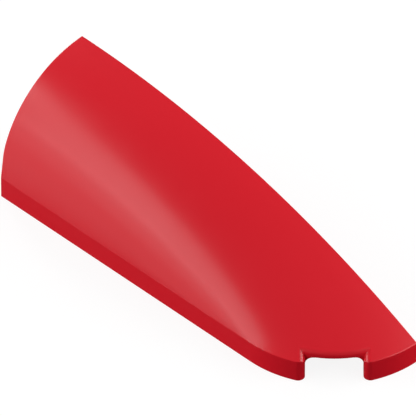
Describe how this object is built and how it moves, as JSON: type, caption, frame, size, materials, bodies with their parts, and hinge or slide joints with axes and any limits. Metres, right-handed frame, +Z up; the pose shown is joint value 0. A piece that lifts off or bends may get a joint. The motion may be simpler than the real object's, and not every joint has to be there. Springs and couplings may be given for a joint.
{
  "type": "toy aircraft fairing",
  "caption": "Thin quarter-round fairing that tapers to a notched, rounded nose, open underneath, with push-in friction pins along its flat side to join it to its mirror half.",
  "frame": {"origin": "lower rear corner of the flat seam wall: where the seam plane, the rear plane and the base plane meet", "axes": "+X from the arched rear end to the nose, +Y out of the flat seam wall, +Z up from the open base to the ridge"},
  "size_m": [0.0958, 0.0317, 0.0288],
  "materials": {
    "shell_plastic": "glossy moulded red",
    "pin_plastic": "satin moulded black"
  },
  "bodies": {
    "shell": {"fairing_shell": "shell_plastic"},
    "rear_pin": {"rear_seam_pin": "pin_plastic"},
    "middle_pin": {"middle_seam_pin": "pin_plastic"},
    "front_pin": {"front_seam_pin": "pin_plastic"}
  },
  "joints": [
    {"name": "rear_pin_pull", "type": "slide", "parent": "shell", "child": "rear_pin", "axis": [0, 1, 0], "range_m": [0, 0.008]},
    {"name": "middle_pin_pull", "type": "slide", "parent": "shell", "child": "middle_pin", "axis": [0, 1, 0], "range_m": [0, 0.008]},
    {"name": "front_pin_pull", "type": "slide", "parent": "shell", "child": "front_pin", "axis": [0, 1, 0], "range_m": [0, 0.008]}
  ]
}
